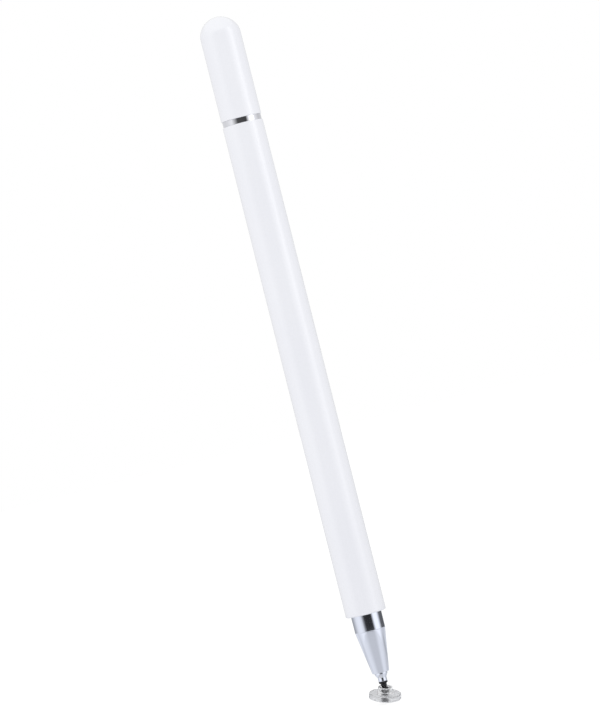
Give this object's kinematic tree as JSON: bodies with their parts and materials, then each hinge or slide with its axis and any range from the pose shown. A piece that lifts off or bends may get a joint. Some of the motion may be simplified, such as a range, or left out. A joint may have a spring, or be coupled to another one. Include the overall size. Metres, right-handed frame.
{
  "type": "stylus pen",
  "caption": "Slim white stylus pen with a domed pull-off magnetic cap, bright nose cone and a clear touch disc that swivels on a ball-and-socket tip.",
  "frame": {"origin": "on the pen's axis, level with the lowest point of the touch disc as it leans at rest", "axes": "+Z along the pen's axis from the tip to the domed end of the cap; +X to the right and +Y away from the viewer in the pictured view"},
  "size_m": [0.0088, 0.0088, 0.1525],
  "materials": {
    "white_lacquer": "gloss",
    "chrome_plate": "polished",
    "liner_steel": "satin",
    "magnet_nickel": "satin",
    "turned_brass": "satin",
    "black_steel": "satin",
    "clear_plastic": "gloss",
    "clear_film": "gloss"
  },
  "bodies": {
    "pen": {"barrel": "white_lacquer", "front_bush": "turned_brass", "front_magnet": "magnet_nickel", "nose_cone": "chrome_plate", "nib_holder": "chrome_plate", "tail_bush": "turned_brass", "tail_magnet": "magnet_nickel", "trim_ring": "chrome_plate", "tail_spigot": "turned_brass"},
    "stud": {"ball_stud": "black_steel"},
    "hub": {"disc_hub": "clear_plastic"},
    "disc": {"touch_disc": "clear_plastic", "contact_film": "clear_film"},
    "cap": {"cap_shell": "white_lacquer", "cap_liner": "liner_steel"}
  },
  "joints": [
    {"name": "disc_swing", "type": "hinge", "parent": "pen", "child": "stud", "pos_m": [0, 0, 0.00279], "axis": [0, 0, 1], "continuous": true},
    {"name": "disc_tilt", "type": "hinge", "parent": "stud", "child": "hub", "pos_m": [0, 0, 0.00279], "axis": [0.6587, 0.7524, 0], "range_deg": [-47, 7]},
    {"name": "disc_spin", "type": "hinge", "parent": "hub", "child": "disc", "pos_m": [0, 0, 0.00279], "axis": [0.2573, -0.2253, 0.9397], "continuous": true},
    {"name": "cap_slide", "type": "slide", "parent": "pen", "child": "cap", "axis": [0, 0, 1], "range_m": [0, 0.025]}
  ]
}
